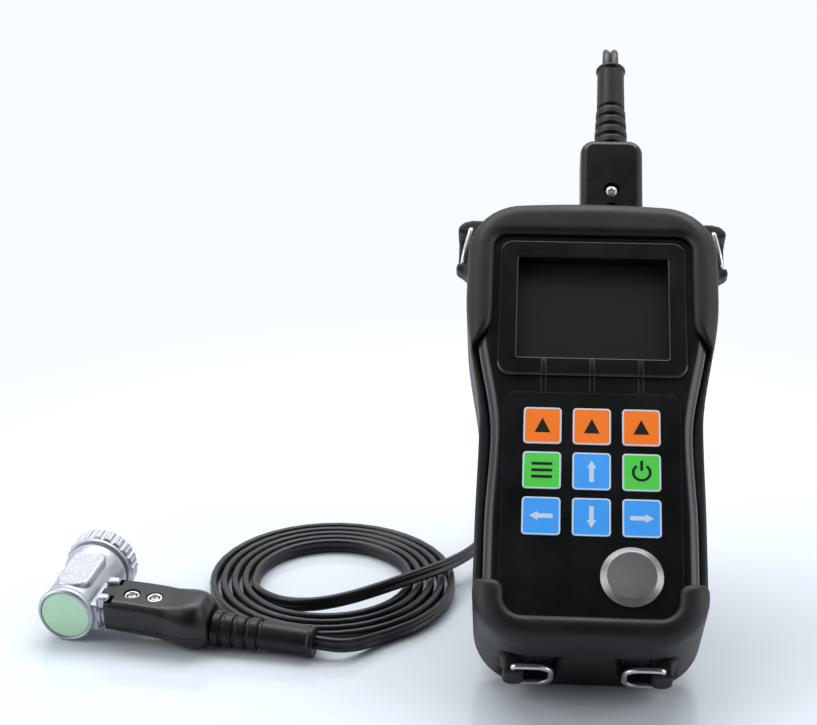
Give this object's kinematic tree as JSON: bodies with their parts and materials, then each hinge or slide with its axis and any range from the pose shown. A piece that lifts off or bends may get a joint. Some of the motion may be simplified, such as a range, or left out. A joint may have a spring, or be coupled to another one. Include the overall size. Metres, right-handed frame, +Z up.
{
  "type": "handheld ultrasonic thickness gauge",
  "caption": "Handheld ultrasonic thickness gauge in a rubber holster, leaning on a wire stand, with a side-entry dual element probe on a flat twin cord coiled beside it.",
  "frame": {"origin": "middle of the narrow flat on the holster's bottom rear edge, where the gauge stands on the floor", "axes": "+Z up from the floor, +X to the gauge's right as its user sees it, +Y away from the user"},
  "size_m": [0.2345, 0.214, 0.1752],
  "materials": {
    "boot_rubber": "matte",
    "case_black": "satin",
    "gasket_rubber": "matte",
    "screw_steel": "brushed",
    "bright_screws": "polished",
    "cell_wrap": "satin",
    "contact_metal": "polished",
    "board_green": "satin",
    "chip_black": "matte",
    "shield_tin": "satin",
    "lcd_dark": "satin",
    "window_clear": "polished",
    "panel_black": "satin",
    "key_orange": "satin",
    "key_green": "satin",
    "key_blue": "satin",
    "disc_steel": "brushed",
    "socket_brass": "polished",
    "plug_black": "satin",
    "relief_rubber": "matte",
    "cord_black": "satin",
    "wire_chrome": "polished",
    "bracket_black": "satin",
    "probe_metal": "satin",
    "end_disc_green": "satin",
    "ring_metal": "satin",
    "delay_resin": "satin",
    "cork_barrier": "matte",
    "crystal_cream": "satin",
    "damper_resin": "matte",
    "grip_black": "satin"
  },
  "bodies": {
    "gauge": {"holster": "boot_rubber", "front_case": "case_black", "rear_case": "case_black", "case_gasket": "gasket_rubber", "case_screws": "screw_steel", "battery_door": "case_black", "battery_door_screws": "screw_steel", "battery_cells": "cell_wrap", "battery_springs": "contact_metal", "battery_contacts": "contact_metal", "main_board": "board_green", "board_screws": "screw_steel", "board_chips": "chip_black", "pulser_shield": "shield_tin", "lcd_module": "lcd_dark", "display_window": "window_clear", "keypad_board": "board_green", "key_domes": "contact_metal", "keypad_panel": "panel_black", "zero_disc": "disc_steel", "zero_disc_nut": "screw_steel", "coax_sockets": "socket_brass", "socket_nuts": "screw_steel", "plug_front_shell": "plug_black", "plug_rear_shell": "plug_black", "plug_screws": "bright_screws", "plug_pins": "socket_brass", "plug_strain_relief": "relief_rubber", "cord_free_run": "cord_black", "cord_coil": "cord_black", "stand_bracket": "bracket_black", "stand_screws": "screw_steel", "probe_body": "probe_metal", "probe_end_disc": "end_disc_green", "probe_delay_lines": "delay_resin", "probe_barrier": "cork_barrier", "probe_crystals": "crystal_cream", "probe_damping_block": "damper_resin", "probe_plug_upper_shell": "grip_black", "probe_plug_lower_shell": "grip_black", "probe_plug_screws": "bright_screws", "probe_plug_pins": "socket_brass", "probe_strain_relief": "relief_rubber"},
    "key_soft_left": {"key_soft_left": "key_orange"},
    "key_soft_middle": {"key_soft_middle": "key_orange"},
    "key_soft_right": {"key_soft_right": "key_orange"},
    "key_menu": {"key_menu": "key_green"},
    "key_arrow_up": {"key_arrow_up": "key_blue"},
    "key_power": {"key_power": "key_green"},
    "key_arrow_left": {"key_arrow_left": "key_blue"},
    "key_arrow_down": {"key_arrow_down": "key_blue"},
    "key_arrow_right": {"key_arrow_right": "key_blue"},
    "ring_top_left": {"ring_top_left": "wire_chrome"},
    "ring_top_right": {"ring_top_right": "wire_chrome"},
    "ring_bottom_left": {"ring_bottom_left": "wire_chrome"},
    "ring_bottom_right": {"ring_bottom_right": "wire_chrome"},
    "wire_stand": {"wire_stand": "wire_chrome"},
    "probe_knurled_ring": {"probe_knurled_ring": "ring_metal"}
  },
  "joints": [
    {"name": "key_soft_left_press", "type": "slide", "parent": "gauge", "child": "key_soft_left", "axis": [0, 0.6626, -0.749], "range_m": [0, 0.00035], "stiffness_N_per_m": 2000, "springref_m": -0.0002},
    {"name": "key_soft_middle_press", "type": "slide", "parent": "gauge", "child": "key_soft_middle", "axis": [0, 0.6626, -0.749], "range_m": [0, 0.00035], "stiffness_N_per_m": 2000, "springref_m": -0.0002},
    {"name": "key_soft_right_press", "type": "slide", "parent": "gauge", "child": "key_soft_right", "axis": [0, 0.6626, -0.749], "range_m": [0, 0.00035], "stiffness_N_per_m": 2000, "springref_m": -0.0002},
    {"name": "key_menu_press", "type": "slide", "parent": "gauge", "child": "key_menu", "axis": [0, 0.6626, -0.749], "range_m": [0, 0.00035], "stiffness_N_per_m": 2000, "springref_m": -0.0002},
    {"name": "key_arrow_up_press", "type": "slide", "parent": "gauge", "child": "key_arrow_up", "axis": [0, 0.6626, -0.749], "range_m": [0, 0.00035], "stiffness_N_per_m": 2000, "springref_m": -0.0002},
    {"name": "key_power_press", "type": "slide", "parent": "gauge", "child": "key_power", "axis": [0, 0.6626, -0.749], "range_m": [0, 0.00035], "stiffness_N_per_m": 2000, "springref_m": -0.0002},
    {"name": "key_arrow_left_press", "type": "slide", "parent": "gauge", "child": "key_arrow_left", "axis": [0, 0.6626, -0.749], "range_m": [0, 0.00035], "stiffness_N_per_m": 2000, "springref_m": -0.0002},
    {"name": "key_arrow_down_press", "type": "slide", "parent": "gauge", "child": "key_arrow_down", "axis": [0, 0.6626, -0.749], "range_m": [0, 0.00035], "stiffness_N_per_m": 2000, "springref_m": -0.0002},
    {"name": "key_arrow_right_press", "type": "slide", "parent": "gauge", "child": "key_arrow_right", "axis": [0, 0.6626, -0.749], "range_m": [0, 0.00035], "stiffness_N_per_m": 2000, "springref_m": -0.0002},
    {"name": "ring_top_left_swing", "type": "hinge", "parent": "gauge", "child": "ring_top_left", "pos_m": [-0.0428, 0.09808, 0.12225], "axis": [0, -0.6626, 0.749], "range_deg": [-120, 0]},
    {"name": "ring_top_right_swing", "type": "hinge", "parent": "gauge", "child": "ring_top_right", "pos_m": [0.0428, 0.09808, 0.12225], "axis": [0, -0.6626, 0.749], "range_deg": [0, 120]},
    {"name": "ring_bottom_left_swing", "type": "hinge", "parent": "gauge", "child": "ring_bottom_left", "pos_m": [-0.024, -0.01091, 0.00819], "axis": [0, -0.6626, 0.749], "range_deg": [-150, 0]},
    {"name": "ring_bottom_right_swing", "type": "hinge", "parent": "gauge", "child": "ring_bottom_right", "pos_m": [0.024, -0.01091, 0.00819], "axis": [0, -0.6626, 0.749], "range_deg": [0, 150]},
    {"name": "stand_fold", "type": "hinge", "parent": "gauge", "child": "wire_stand", "pos_m": [0, 0.09051, 0.07269], "axis": [1, 0, 0], "range_deg": [-66, 0]},
    {"name": "probe_ring_turn", "type": "hinge", "parent": "gauge", "child": "probe_knurled_ring", "pos_m": [-0.17161, 0.04863, 0.01277], "axis": [0.1645, 0.9833, 0.0781], "range_deg": [0, 270]}
  ]
}
